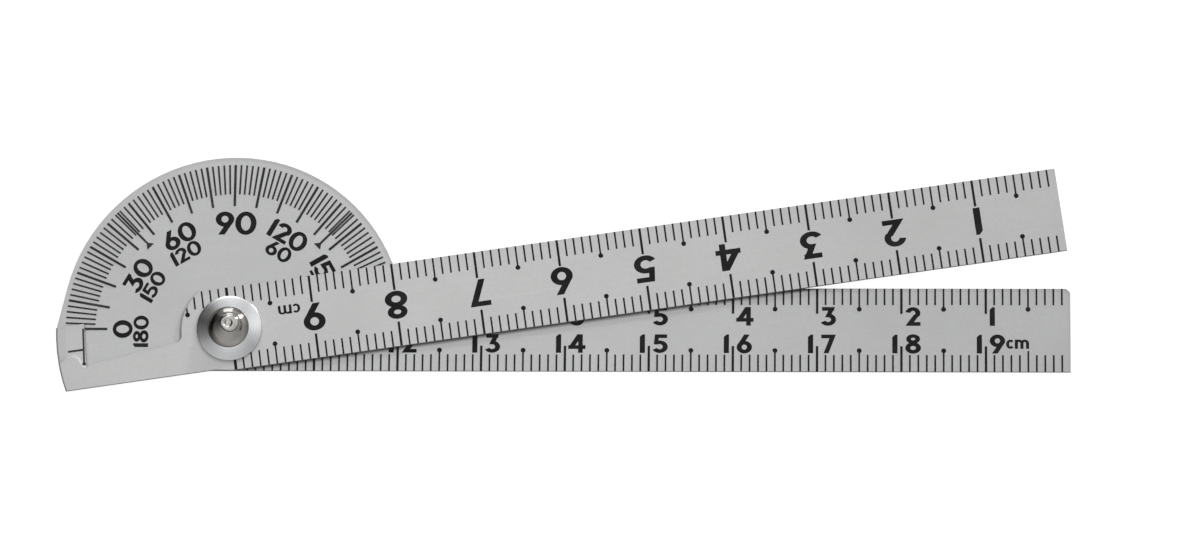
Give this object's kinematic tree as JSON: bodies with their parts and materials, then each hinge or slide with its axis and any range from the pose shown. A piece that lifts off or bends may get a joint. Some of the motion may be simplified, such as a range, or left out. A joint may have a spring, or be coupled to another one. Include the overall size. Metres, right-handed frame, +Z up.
{
  "type": "angle finder with arms",
  "caption": "Flat steel angle finder: a half disc protractor with a fixed rule arm and a rule arm that turns on a rivet.",
  "frame": {"origin": "on the pivot axis, at the flat of the rivet's closing head, where the tool stands", "axes": "+X along the fixed arm from the pivot to its tip, +Y to the side of the half disc, +Z up out of the scale face"},
  "size_m": [0.1211, 0.0286, 0.0037],
  "materials": {
    "sheet_steel": "satin, fine lengthwise grain",
    "polished_steel": "polished",
    "black_enamel": "matt enamel in etched lines"
  },
  "bodies": {
    "scale_body": {"scale_plate": "sheet_steel", "degree_lines": "black_enamel", "fixed_arm_outer_lines": "black_enamel", "fixed_arm_inner_lines": "black_enamel", "rivet": "polished_steel", "spring_washer": "polished_steel"},
    "index_body": {"index_arm": "sheet_steel", "index_arm_outer_lines": "black_enamel", "index_arm_inner_lines": "black_enamel", "index_mark": "black_enamel"}
  },
  "joints": [
    {"name": "arm_pivot", "type": "hinge", "parent": "scale_body", "child": "index_body", "pos_m": [0, 0, 0.00105], "axis": [0, 0, 1], "continuous": true}
  ]
}
